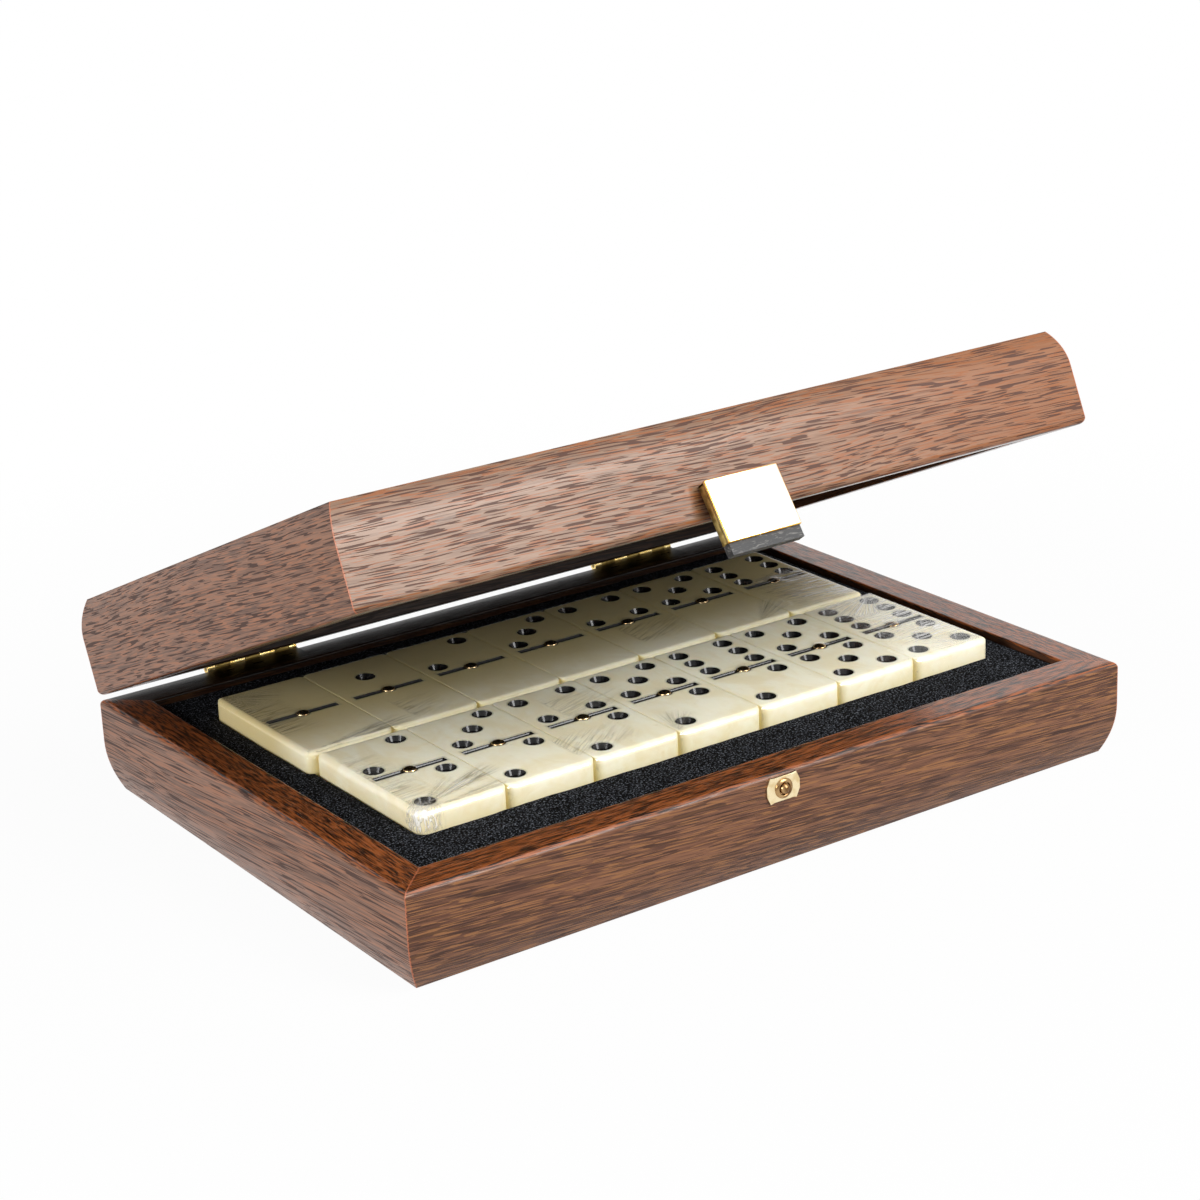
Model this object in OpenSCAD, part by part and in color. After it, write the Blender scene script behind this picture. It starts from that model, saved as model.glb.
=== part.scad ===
// Domino storage box.
// Two shells of equal height, each a frame of four mitred, moulded rails round
// a let-in panel, are joined at the back by two brass butt hinges and shut at
// the front by a press-stud latch. The lower shell holds a die-cut foam tray
// with a full double-six set lying in it, in two layers of fourteen tiles.
//
// X runs along the front, Y towards the hinges and Z up. The origin is the
// middle of the underside. The lid stands ajar.

/* [Box] */
// Width of the box along its front
box_w = 240; // [226:1:300]
// Depth of the box from front to back
box_d = 170; // [140:1:220]
// Height of the lower shell
base_h = 28; // [26:0.5:34]
// Height of the lid
lid_h = 28; // [26:0.5:34]
// Gap between the two rims when the lid is shut
rim_gap = 0.3; // [0.2:0.1:0.6]
// Angle at which the lid stands open
lid_open = 23.5; // [0:0.5:90]

/* [Rails] */
// Width of a rail at the rim
rail_w = 11.5; // [11:0.5:14]
// Height over which the lower shell's face curves in towards its foot
base_curve_h = 15; // [10:0.5:16]
// How far the foot is set in from the face
base_foot_in = 3.6; // [2:0.2:5]
// Height over which the lid's face curves in towards its top
lid_curve_h = 11; // [8:0.5:14]
// How far the lid's top edge is set in from the face
lid_top_in = 3.1; // [2:0.1:4.5]
// Radius of the outer edge of each rim
rim_r = 1.8; // [1:0.1:2]
// Radius of the inner edge of each rim
inner_r = 0.6; // [0.3:0.1:1]

/* [Panels] */
// Thickness of the bottom panel
bottom_t = 4; // [3:0.5:5]
// Thickness of the lid's top panel
top_t = 5; // [4:0.5:6]
// Width of the rebate that holds each panel
rebate_w = 4; // [3:0.5:5]
// Thickness of the lid's lining
lining_t = 1.2; // [1:0.1:2]

/* [Foam tray] */
// Thickness of the foam sheet under the tiles
foam_floor_t = 3; // [2:0.5:4]
// How far the tray's top lies below the rim
foam_drop = 1.6; // [1:0.1:2.5]
// Play between the tray's cut-out and the tiles
foam_play = 0.25; // [0.1:0.05:0.5]

/* [Dominoes] */
// Width of a tile
tile_w = 27.7; // [26:0.1:28]
// Length of a tile
tile_l = 54; // [52:0.5:55]
// Thickness of a tile
tile_t = 12.5; // [11:0.5:13]
// Gap between neighbouring tiles
tile_gap = 0.25; // [0.15:0.05:0.5]
// Radius of the tile's long and short edges
tile_edge_r = 2; // [1:0.1:2.4]
// Radius of the tile's corners, seen from above
tile_corner_r = 3; // [2.5:0.1:4]
// Sideways shift of the front row, and of the back row the other way
row_shift = 1; // [0:0.1:1.5]
// Diameter of a pip
pip_d = 5.8; // [4:0.1:6.2]
// Depth of a pip
pip_depth = 1.5; // [0.5:0.1:1.6]
// Length of the dividing groove
groove_l = 22.6; // [18:0.2:24]
// Width of the dividing groove
groove_w = 2.5; // [1.2:0.1:2.8]
// Depth of the dividing groove
groove_depth = 0.7; // [0.4:0.1:1]
// Diameter of the spinner's domed head
spinner_d = 4; // [2.4:0.1:4.4]

/* [Hinges] */
// Length of a hinge
hinge_l = 30; // [25:1:40]
// Distance from the end of the box to the hinge
hinge_in = 35; // [25:1:50]
// Diameter of the hinge barrel
barrel_d = 2.9; // [2.6:0.1:3.1]
// Diameter of the hinge pin
pin_d = 1.4; // [1.2:0.1:1.5]
// How far the barrel's centre stands behind the back face
barrel_out = 1.1; // [1:0.1:1.4]
// Reach of a leaf from the barrel's centre
leaf_w = 9.6; // [8:0.2:11]
// Thickness of a leaf
leaf_t = 0.7; // [0.5:0.1:0.9]

/* [Latch] */
// Latch centre, along the front from the middle
latch_x = -3; // [-20:1:20]
// Width of the latch plate
latch_w = 23.7; // [20:0.1:28]
// Height of the latch plate
latch_h = 17.6; // [16:0.2:20]
// Height of the plate's top above the lid's rim
latch_rise = 9.7; // [9:0.1:11]
// Thickness of the face plate
latch_plate_t = 1.2; // [0.8:0.1:1.5]
// Depth of the channel behind the face plate
latch_channel_d = 2.7; // [2.6:0.1:3]
// Length of the tab's lip below the plate
latch_lip = 3.3; // [2:0.1:4]
// Angle at which the flexible tab stands off the lid
latch_out = 12.7; // [0:0.1:20]
// Width of the keeper plate
keeper_w = 11; // [10:0.2:12]
// Height of the keeper plate
keeper_h = 7.6; // [7:0.2:8]
// How far the stud stands out from the face
stud_out = 2.3; // [2:0.1:2.3]

/* [Hidden] */
$fn = 48;

cut = 1; // how far a cutting shape runs past the face it cuts
closed_h = base_h + rim_gap + lid_h;
lid_rim_z = base_h + rim_gap;

// hinge axis, and the seven knuckles of each barrel
hinge_y = box_d / 2 + barrel_out;
hinge_z = base_h + rim_gap / 2;
barrel_r = barrel_d / 2;
knuckle_pitch = hinge_l / 6;
knuckle_gap = 0.1;
barrel_clear = 0.15;
pin_play = 0.05;
hinge_x = box_w / 2 - hinge_in - hinge_l / 2;
leaf_screw_x = [-hinge_l / 3, 0, hinge_l / 3];
leaf_screw_y = hinge_y - leaf_w * 0.55; // just past the middle of the leaf
mortise_play = 0.1;

// screws
screw_head_r = 1.8;
screw_r = 0.9;
hinge_screw_l = 8;
latch_screw_l = 7;
latch_screw_head_r = 1.4;
latch_screw_head_t = 0.6;
latch_screw_overlap = 0.1; // how far the shank runs up into the head
slot_w = 0.4;
slot_depth = 0.35;
hole_play = 0.02;

// latch, drawn shut against the lid with Z = 0 at the plate's top edge
latch_z = lid_rim_z + latch_rise;
latch_axis_y = -box_d / 2 - 0.4;
channel_back = 0.25;      // the channel's back edge, inwards of the axis
channel_wall = 0.7;
channel_web = 0.4;        // thickness of the channel behind the face plate
channel_drop = 0.2;       // how far the channel lies inside the plate's outline
channel_w = latch_w - 2 * channel_drop;
channel_front = channel_back - latch_channel_d;
tab_back = 0.1;           // the tab's back face, inwards of the axis
tab_top = 7;              // from the plate's top down to the tab's socket block
tab_play = 0.02;
lip_w = latch_w - 0.5;
lip_swell = 0.3;
socket_play = 0.5;
keeper_play = 0.7;
root_w = 16;
root_top = 1.2;           // from the plate's top down to the root strip
root_h = 5.4;
root_t = 0.9;
root_screw_x = 5;         // half the spacing of the two screws
root_screw_z = -root_top - root_h / 2;

// keeper and stud, on the front face of the lower shell
keeper_z = base_h - 4.6;
keeper_t = 0.6;
keeper_shoulder = 0.79;   // part of the half width that is left at the corners
keeper_side = 1.3;        // half height of the plate's straight ends
keeper_ear = 1.1;         // width of each eared corner
keeper_dip = 0.25;        // how far the edge dips between the ears
keeper_ring_r = 2.9;
keeper_ring_taper = 0.7;
keeper_ring_out = 1.3;
stud_head_r = 1.55;
stud_head_play = 0.1;
stud_neck_r = 1;
stud_shank_l = 6;

// foam tray and tiles
tile_floor = bottom_t + foam_floor_t;
foam_top = base_h - foam_drop;
inner_w = box_w - 2 * rail_w;
inner_d = box_d - 2 * rail_w;
pitch_x = tile_w + tile_gap;
pitch_y = tile_l + tile_gap;
layer_gap = 0.02;
layer_z = [tile_floor + layer_gap, tile_floor + tile_t + 2 * layer_gap];
row_y = [-pitch_y / 2, pitch_y / 2];
row_x = [row_shift, -row_shift];
half_y = tile_l * 0.24;   // from the spinner to the middle of either half
pip_dx = 8;               // pip spacing across the tile, and then along it
pip_dy = 7.6;
pip_r = (pip_d * pip_d / 4 + pip_depth * pip_depth) / (2 * pip_depth);
spinner_shank_r = 0.8;
spinner_shank_l = 5;
spinner_play = 0.25;
spinner_rise = groove_depth - layer_gap; // clear of the tile that lies on top
spinner_dome_r = spinner_d * 0.62;       // a little flatter than half a ball

// where each tile lies: [pips at the back end, pips at the front end], from the
// left, front row and then back row, for the top layer and the bottom layer
top_layer = [
    [[2, 2], [3, 2], [4, 2], [5, 2], [6, 2], [5, 5], [6, 5]],
    [[0, 0], [1, 0], [2, 0], [3, 0], [4, 0], [5, 0], [6, 0]]
];
bottom_layer = [
    [[4, 3], [5, 3], [6, 3], [4, 4], [5, 4], [6, 4], [6, 6]],
    [[1, 1], [2, 1], [3, 1], [4, 1], [5, 1], [6, 1], [3, 3]]
];
layers = [bottom_layer, top_layer];
BACK_END = 0;
FRONT_END = 1;

wood = "#6e4436";
brass = "#d9b45a";
foam = "#202022";
ivory = "#e8e0c4";
black = "#26262a";

// ---- shells ----

// Square corner with a quarter circle taken out of it, to round an edge
module edge_cut(r) {
    difference() {
        square(r + cut);
        circle(r);
    }
}

// Cross-section of a rail. X runs inwards from the outer face and Y from the
// shell's outer surface to its rim.
module rail_profile(h, curve_h, inset, panel_t) {
    curve_r = (curve_h * curve_h + inset * inset) / (2 * inset);
    difference() {
        union() {
            translate([0, curve_h]) square([rail_w, h - curve_h]);
            intersection() {
                square([rail_w, curve_h]);
                translate([curve_r, curve_h]) circle(curve_r, $fn = 180);
            }
        }
        translate([rail_w - rebate_w, -cut]) square([rebate_w + cut, panel_t + cut]);
        translate([rim_r, h - rim_r]) mirror([1, 0]) edge_cut(rim_r);
        translate([rail_w - inner_r, h - inner_r]) edge_cut(inner_r);
    }
}

// One mitred rail of length len, along X, whose outer face is at -Y across
module mitred_rail(len, across, h, curve_h, inset, panel_t) {
    reach = rail_w + cut;
    intersection() {
        translate([-len / 2, -across / 2, 0]) rotate([90, 0, 90])
            linear_extrude(len) rail_profile(h, curve_h, inset, panel_t);
        translate([0, -across / 2, -cut]) linear_extrude(h + 2 * cut)
            polygon([
                [-len / 2, 0], [len / 2, 0],
                [len / 2 - reach, reach], [-len / 2 + reach, reach]
            ]);
    }
}

module base_rail(turn, len, across) {
    rotate([0, 0, turn]) mitred_rail(len, across, base_h, base_curve_h, base_foot_in, bottom_t);
}

// Rail of the lid, in its shut position
module lid_rail(turn, len, across) {
    translate([0, 0, closed_h]) mirror([0, 0, 1]) rotate([0, 0, turn])
        mitred_rail(len, across, lid_h, lid_curve_h, lid_top_in, top_t);
}

// Turns what is drawn in the shut position to where the lid stands
module lid_pose() {
    translate([0, hinge_y, hinge_z]) rotate([-lid_open, 0, 0])
        translate([0, -hinge_y, -hinge_z]) children();
}

// Panel that fills a shell's rebate, with its underside at Z = 0
module let_in_panel(t) {
    w = box_w - 2 * (rail_w - rebate_w);
    d = box_d - 2 * (rail_w - rebate_w);
    translate([-w / 2, -d / 2, 0]) cube([w, d, t]);
}

module base_front_rail() color(wood) difference() {
    base_rail(0, box_w, box_d);
    translate([latch_x, -box_d / 2 - cut, keeper_z]) rotate([-90, 0, 0])
        cylinder(r = stud_neck_r + hole_play, h = stud_shank_l + cut);
}

module base_back_rail() color(wood) difference() {
    base_rail(180, box_w, box_d);
    for (side = [-1, 1]) translate([side * hinge_x, 0, 0]) leaf_mortise();
}

module base_left_rail() color(wood) base_rail(-90, box_d, box_w);

module base_right_rail() color(wood) base_rail(90, box_d, box_w);

module base_bottom_panel() color(wood) let_in_panel(bottom_t);

module lid_front_rail() color(wood) lid_pose() difference() {
    lid_rail(0, box_w, box_d);
    for (side = [-1, 1])
        translate([latch_x + side * root_screw_x, -box_d / 2 - cut, latch_z + root_screw_z])
            rotate([-90, 0, 0]) cylinder(r = screw_r + hole_play, h = latch_screw_l + cut);
}

module lid_back_rail() color(wood) lid_pose() difference() {
    lid_rail(180, box_w, box_d);
    for (side = [-1, 1])
        translate([side * hinge_x, 0, 2 * hinge_z]) mirror([0, 0, 1]) leaf_mortise();
}

module lid_left_rail() color(wood) lid_pose() lid_rail(-90, box_d, box_w);

module lid_right_rail() color(wood) lid_pose() lid_rail(90, box_d, box_w);

module lid_top_panel() color(wood) lid_pose()
    translate([0, 0, closed_h - top_t]) let_in_panel(top_t);

module lid_lining() color(foam) lid_pose()
    translate([-inner_w / 2, -inner_d / 2, closed_h - top_t - lining_t])
        cube([inner_w, inner_d, lining_t]);

// ---- foam tray ----

// Rectangle with round corners, about the origin
module round_rect(w, l, r) {
    square([w - 2 * r, l], center = true);
    square([w, l - 2 * r], center = true);
    for (x = [-1, 1], y = [-1, 1])
        translate([x * (w / 2 - r), y * (l / 2 - r)]) circle(r);
}

module foam_floor() color(foam)
    translate([-inner_w / 2, -inner_d / 2, bottom_t]) cube([inner_w, inner_d, foam_floor_t]);

module foam_frame() color(foam) translate([0, 0, tile_floor])
    linear_extrude(foam_top - tile_floor) difference() {
        square([inner_w, inner_d], center = true);
        for (row = [0, 1]) translate([row_x[row], row_y[row]])
            round_rect(6 * pitch_x + tile_w + 2 * foam_play, tile_l + 2 * foam_play, tile_corner_r);
    }

// ---- dominoes ----

// Places of the pips of one half, in units of the pip spacing
function pip_places(n) = concat(
    n % 2 == 1 ? [[0, 0]] : [],
    n > 1 ? [[-1, -1], [1, 1]] : [],
    n > 3 ? [[-1, 1], [1, -1]] : [],
    n > 5 ? [[-1, 0], [1, 0]] : []
);

// Tile body with every edge rounded, standing on Z = 0
module tile_body() {
    intersection() {
        linear_extrude(tile_t) round_rect(tile_w, tile_l, tile_corner_r);
        translate([0, tile_l / 2, tile_t / 2]) rotate([90, 0, 0])
            linear_extrude(tile_l) round_rect(tile_w, tile_t, tile_edge_r);
        translate([-tile_w / 2, 0, tile_t / 2]) rotate([90, 0, 90])
            linear_extrude(tile_w) round_rect(tile_l, tile_t, tile_edge_r);
    }
}

// Pip hollows of one half, whose middle is at y, cut into the top face
module half_pips(n, y) {
    for (p = pip_places(n))
        translate([p[0] * pip_dx, y + p[1] * pip_dy, tile_t + pip_r - pip_depth])
            sphere(pip_r, $fn = 96);
}

module domino(back_pips, front_pips) {
    difference() {
        tile_body();
        translate([-groove_l / 2, -groove_w / 2, tile_t - groove_depth])
            cube([groove_l, groove_w, groove_depth + cut]);
        translate([0, 0, tile_t - groove_depth - spinner_shank_l])
            cylinder(r = spinner_shank_r, h = spinner_shank_l + cut);
        translate([0, 0, tile_t - groove_depth])
            cylinder(r = spinner_d / 2 + spinner_play, h = cut);
        half_pips(back_pips, half_y);
        half_pips(front_pips, -half_y);
    }
}

// Domed pin that a tile spins on, whose head stays just under the tile's face
module spinner() {
    translate([0, 0, tile_t - groove_depth - spinner_shank_l])
        cylinder(r = spinner_shank_r, h = spinner_shank_l + spinner_rise / 2);
    translate([0, 0, tile_t - groove_depth]) intersection() {
        cylinder(r = spinner_d / 2, h = groove_depth);
        translate([0, 0, spinner_rise - spinner_dome_r]) sphere(spinner_dome_r, $fn = 64);
    }
}

module tile_place(layer, row, i) {
    translate([row_x[row] + (i - 3) * pitch_x, row_y[row], layer_z[layer]]) children();
}

// The one tile with these two ends, wherever it lies
module domino_node(a, b) color(ivory) {
    for (layer = [0, 1], row = [0, 1], i = [0 : 6]) {
        ends = layers[layer][row][i];
        if (ends[BACK_END] == a && ends[FRONT_END] == b)
            tile_place(layer, row, i) domino(a, b);
    }
}

module layer_spinners(layer) color(brass)
    for (row = [0, 1], i = [0 : 6]) tile_place(layer, row, i) spinner();

// ---- hinges ----

// Recess for a leaf in the rim of the lower shell's back rail, and its screws
module leaf_mortise() {
    l = hinge_l + 2 * mortise_play;
    translate([-l / 2, hinge_y - leaf_w - mortise_play, base_h - leaf_t])
        cube([l, leaf_w, leaf_t + cut]);
    for (x = leaf_screw_x)
        translate([x, leaf_screw_y, base_h - hinge_screw_l])
            cylinder(r = screw_r + hole_play, h = hinge_screw_l);
}

// Start and end of knuckle k of seven; the two end knuckles are half length
function knuckle_start(k) = k == 0 ? 0 : (k - 0.5) * knuckle_pitch + knuckle_gap / 2;
function knuckle_end(k) = k == 6 ? hinge_l : (k + 0.5) * knuckle_pitch - knuckle_gap / 2;

// Cutter for a leaf's screw hole, which widens upwards and runs past the face
module countersink() {
    slope = (screw_head_r - screw_r) / leaf_t;
    cylinder(
        r1 = screw_r + hole_play,
        r2 = screw_r + hole_play + slope * (leaf_t + cut),
        h = leaf_t + cut
    );
}

// Leaf let into the lower rim, with the given knuckles round the hinge axis
module hinge_leaf(knuckles) {
    difference() {
        union() {
            translate([-hinge_l / 2, hinge_y - leaf_w, base_h - leaf_t])
                cube([hinge_l, leaf_w - barrel_r - barrel_clear, leaf_t]);
            for (k = knuckles)
                translate([knuckle_start(k) - hinge_l / 2, 0, 0]) {
                    run = knuckle_end(k) - knuckle_start(k);
                    translate([0, hinge_y, hinge_z]) rotate([0, 90, 0])
                        cylinder(r = barrel_r, h = run);
                    translate([0, hinge_y - barrel_r - 2 * barrel_clear, base_h - leaf_t])
                        cube([run, barrel_r, leaf_t]);
                }
        }
        translate([-hinge_l / 2 - cut, hinge_y, hinge_z]) rotate([0, 90, 0])
            cylinder(r = pin_d / 2 + pin_play, h = hinge_l + 2 * cut);
        for (x = leaf_screw_x) translate([x, leaf_screw_y, base_h - leaf_t]) countersink();
    }
}

module base_leaf(side) color(brass) translate([side * hinge_x, 0, 0]) hinge_leaf([1, 3, 5]);

module lid_leaf(side) color(brass) lid_pose()
    translate([side * hinge_x, 0, 2 * hinge_z]) mirror([0, 0, 1]) hinge_leaf([0, 2, 4, 6]);

module hinge_pin(side) color(brass) translate([side * hinge_x - hinge_l / 2, hinge_y, hinge_z])
    rotate([0, 90, 0]) cylinder(r = pin_d / 2, h = hinge_l);

// Countersunk screw whose head is flush with Z = 0
module flat_screw() {
    difference() {
        union() {
            translate([0, 0, -leaf_t]) cylinder(r1 = screw_r, r2 = screw_head_r, h = leaf_t);
            translate([0, 0, -hinge_screw_l]) cylinder(r = screw_r, h = hinge_screw_l - leaf_t);
        }
        translate([-screw_head_r, -slot_w / 2, -slot_depth])
            cube([2 * screw_head_r, slot_w, slot_depth + cut]);
    }
}

module leaf_screws() {
    for (side = [-1, 1], x = leaf_screw_x)
        translate([side * hinge_x + x, leaf_screw_y, base_h]) flat_screw();
}

module hinge_screws_base() color(brass) leaf_screws();

module hinge_screws_lid() color(brass) lid_pose()
    translate([0, 0, 2 * hinge_z]) mirror([0, 0, 1]) leaf_screws();

// ---- latch ----

// Turns what is drawn about the latch's bending line, shut, to where it stands
module latch_pose() {
    lid_pose() translate([latch_x, latch_axis_y, latch_z]) rotate([-latch_out, 0, 0]) children();
}

// Block of width w from y_out in to y_in, hanging from z_top down by h
module hang(w, y_out, y_in, z_top, h) {
    translate([-w / 2, y_out, z_top - h]) cube([w, y_in - y_out, h]);
}

module latch_plate() color(brass) latch_pose()
    hang(latch_w, channel_front - latch_plate_t, channel_front, 0, latch_h);

module latch_channel() color(brass) latch_pose() difference() {
    hang(channel_w, channel_front, channel_back, -channel_drop, latch_h - 2 * channel_drop);
    hang(channel_w - 2 * channel_wall, channel_front + channel_web, channel_back + cut,
        -channel_drop - channel_wall, latch_h);
}

// Flexible tab with its socket for the stud and a lip to pull it by
module latch_tab() {
    stud_drop = latch_z - keeper_z;
    tab_out = channel_front + channel_web;
    color(black) latch_pose() difference() {
        union() {
            hang(channel_w - 2 * channel_wall - 2 * tab_play, tab_out, tab_back,
                -tab_top, latch_h - tab_top + latch_lip / 2);
            hang(lip_w, channel_front - lip_swell, tab_back, -latch_h, latch_lip);
        }
        translate([0, cut, -stud_drop]) rotate([90, 0, 0])
            cylinder(r = stud_head_r + socket_play, h = cut + latch_channel_d);
        translate([0, cut, -stud_drop]) rotate([90, 0, 0])
            cylinder(r = keeper_ring_r + socket_play, h = cut + keeper_ring_out);
        hang(keeper_w + 2 * keeper_play, -keeper_t, cut,
            keeper_h / 2 + keeper_play - stud_drop, keeper_h + 2 * keeper_play);
    }
}

// Fixed end of the tab, screwed to the lid under the plate
module latch_root() color(black) lid_pose()
    translate([latch_x, -box_d / 2, latch_z]) difference() {
        hang(root_w, -root_t, 0, -root_top, root_h);
        for (side = [-1, 1]) translate([side * root_screw_x, cut, root_screw_z])
            rotate([90, 0, 0]) cylinder(r = screw_r + hole_play, h = root_t + 2 * cut);
    }

module latch_screws() color(brass) lid_pose()
    for (side = [-1, 1])
        translate([latch_x + side * root_screw_x, -box_d / 2 - root_t, latch_z + root_screw_z])
            rotate([90, 0, 0]) difference() {
                union() {
                    cylinder(r = latch_screw_head_r, h = latch_screw_head_t);
                    translate([0, 0, latch_screw_overlap - latch_screw_l - root_t])
                        cylinder(r = screw_r, h = latch_screw_l + root_t);
                }
                translate([-latch_screw_head_r, -slot_w / 2, latch_screw_head_t - slot_depth])
                    cube([2 * latch_screw_head_r, slot_w, slot_depth + cut]);
            }

// Outline of the keeper plate: full width at the middle, with eared corners
module keeper_outline() {
    quarter = [
        [keeper_w / 2, keeper_side],
        [keeper_w / 2 * keeper_shoulder, keeper_h / 2],
        [keeper_w / 2 * keeper_shoulder - keeper_ear, keeper_h / 2 - keeper_dip]
    ];
    polygon(concat(
        [for (p = quarter) p],
        [for (i = [2 : -1 : 0]) [-quarter[i][0], quarter[i][1]]],
        [for (p = quarter) -p],
        [for (i = [2 : -1 : 0]) [quarter[i][0], -quarter[i][1]]]
    ));
}

// Puts Z = 0 on the lower shell's front face at the stud, with +Z outwards
module at_keeper() {
    translate([latch_x, -box_d / 2, keeper_z]) rotate([90, 0, 0]) children();
}

module keeper_plate() color(brass) at_keeper() difference() {
    union() {
        linear_extrude(keeper_t) keeper_outline();
        cylinder(r1 = keeper_ring_r, r2 = keeper_ring_r - keeper_ring_taper, h = keeper_ring_out);
    }
    translate([0, 0, -cut]) cylinder(r = stud_neck_r + hole_play, h = keeper_ring_out + 2 * cut);
    translate([0, 0, keeper_t]) cylinder(r = stud_head_r + stud_head_play, h = keeper_ring_out);
}

module keeper_stud() color(brass) at_keeper() {
    translate([0, 0, -stud_shank_l])
        cylinder(r = stud_neck_r, h = stud_shank_l + stud_out - stud_neck_r);
    translate([0, 0, stud_out - stud_head_r]) intersection() {
        sphere(stud_head_r);
        translate([0, 0, keeper_t - stud_out + stud_head_r + hole_play])
            cylinder(r = stud_head_r, h = stud_out);
    }
}

base_front_rail();
base_back_rail();
base_left_rail();
base_right_rail();
base_bottom_panel();
foam_floor();
foam_frame();
lid_front_rail();
lid_back_rail();
lid_left_rail();
lid_right_rail();
lid_top_panel();
lid_lining();
base_leaf(-1);  // left_hinge_base_leaf
lid_leaf(-1);  // left_hinge_lid_leaf
hinge_pin(-1);  // left_hinge_pin
base_leaf(1);  // right_hinge_base_leaf
lid_leaf(1);  // right_hinge_lid_leaf
hinge_pin(1);  // right_hinge_pin
hinge_screws_base();
hinge_screws_lid();
latch_plate();
latch_channel();
latch_tab();
latch_root();
latch_screws();
keeper_plate();
keeper_stud();
domino_node(0, 0);  // domino_0_0
domino_node(1, 0);  // domino_1_0
domino_node(2, 0);  // domino_2_0
domino_node(3, 0);  // domino_3_0
domino_node(4, 0);  // domino_4_0
domino_node(5, 0);  // domino_5_0
domino_node(6, 0);  // domino_6_0
domino_node(2, 2);  // domino_2_2
domino_node(3, 2);  // domino_3_2
domino_node(4, 2);  // domino_4_2
domino_node(5, 2);  // domino_5_2
domino_node(6, 2);  // domino_6_2
domino_node(5, 5);  // domino_5_5
domino_node(6, 5);  // domino_6_5
domino_node(1, 1);  // domino_1_1
domino_node(2, 1);  // domino_2_1
domino_node(3, 1);  // domino_3_1
domino_node(4, 1);  // domino_4_1
domino_node(5, 1);  // domino_5_1
domino_node(6, 1);  // domino_6_1
domino_node(3, 3);  // domino_3_3
domino_node(4, 3);  // domino_4_3
domino_node(5, 3);  // domino_5_3
domino_node(6, 3);  // domino_6_3
domino_node(4, 4);  // domino_4_4
domino_node(5, 4);  // domino_5_4
domino_node(6, 4);  // domino_6_4
domino_node(6, 6);  // domino_6_6
layer_spinners(1);  // spinners_top_layer
layer_spinners(0);  // spinners_bottom_layer
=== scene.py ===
"""Dresses the domino storage box: walnut rails, cut foam, ivory tiles under shrink film, brass hinges and latch."""

import math
import random

import bmesh
import bpy
from mathutils import Matrix, Vector, noise
from mathutils.geometry import delaunay_2d_cdt


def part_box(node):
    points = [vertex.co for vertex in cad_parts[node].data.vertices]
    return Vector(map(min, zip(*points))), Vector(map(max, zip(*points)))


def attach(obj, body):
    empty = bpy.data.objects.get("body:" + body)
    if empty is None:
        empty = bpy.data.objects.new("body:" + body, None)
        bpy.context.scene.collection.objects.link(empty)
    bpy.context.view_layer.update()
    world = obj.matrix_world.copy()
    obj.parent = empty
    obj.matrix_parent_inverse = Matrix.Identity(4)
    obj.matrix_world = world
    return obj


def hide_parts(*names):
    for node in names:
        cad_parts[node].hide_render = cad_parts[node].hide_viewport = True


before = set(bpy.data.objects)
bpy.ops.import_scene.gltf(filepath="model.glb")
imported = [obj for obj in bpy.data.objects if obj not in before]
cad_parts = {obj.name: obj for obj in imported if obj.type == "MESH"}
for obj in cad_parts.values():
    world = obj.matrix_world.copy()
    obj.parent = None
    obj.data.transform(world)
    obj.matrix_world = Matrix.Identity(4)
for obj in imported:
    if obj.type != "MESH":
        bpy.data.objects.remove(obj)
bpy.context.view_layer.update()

MM = 0.001  # lengths are in millimetres unless a comment says metres; meshes are scaled when they are made

# ---- sizes of the box, in its shut position ----

BOX_W, BOX_D = 240.0, 170.0
RAIL_W = 11.5
INNER_W, INNER_D = BOX_W - 2 * RAIL_W, BOX_D - 2 * RAIL_W
RIM_Z = 28.0
LID_RIM_Z = 28.3
SHUT_H = 56.3
BOTTOM_T = 4.0
TOP_T = 5.0
LINING_T = 1.2
FOAM_FLOOR_T = 3.0
FOAM_TOP = 26.4
LID_OPEN = math.radians(23.5)
HINGE = Vector((0, 86.1, 28.15))

TILE_W, TILE_L, TILE_T = 27.7, 54.0, 12.5
TILE_GAP = 0.25
ROW_SHIFT = 1.0  # how far the front row lies to the right, and the back row to the left
ROW_HALF = 3  # tiles on either side of a row's middle one
END_EDGE_R, SEAM_EDGE_R = 1.8, 0.28
ROW_EDGE_R = {1: 1.7, -1: 2.6}  # where the back row, 1, and the front row, -1, meet
SEAM_FILL = 0.1  # how far a tile's walls bulge into a seam
TILE_CORNER_R = 3.0
PITCH_X = TILE_W + TILE_GAP
ROW_Y = (TILE_L + TILE_GAP) / 2
BLOCK_HALF_W, BLOCK_HALF_D = ROW_HALF * PITCH_X + TILE_W / 2, TILE_L + TILE_GAP / 2
TOP_LAYER_Z = 32.04
PIP_R, PIP_DEPTH = 2.9, 1.5
PIP_DX, PIP_DY = 8.0, 7.6
HALF_Y = TILE_L * 0.24  # from the spinner to the middle of a half
GROOVE_L, GROOVE_W, GROOVE_DEPTH = 22.6, 2.5, 0.7
SPINNER_SEAT_R, SPINNER_R = 2.25, 1.9

LATCH_AXIS = Vector((-3, -85.4, 38.0))  # a point on the line that the tab bends about, on the shut lid
LATCH_OUT = math.radians(12.7)
PLATE_W, PLATE_H, PLATE_T = 23.7, 17.6, 1.2
CHANNEL_BACK, CHANNEL_FRONT = 0.25, -2.45
KEEPER_Z = 23.4


def lid_place():
    """Turns what is laid out on the shut lid to where the lid stands."""
    return Matrix.Translation(HINGE) @ Matrix.Rotation(-LID_OPEN, 4, "X") @ Matrix.Translation(-HINGE)


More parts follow.
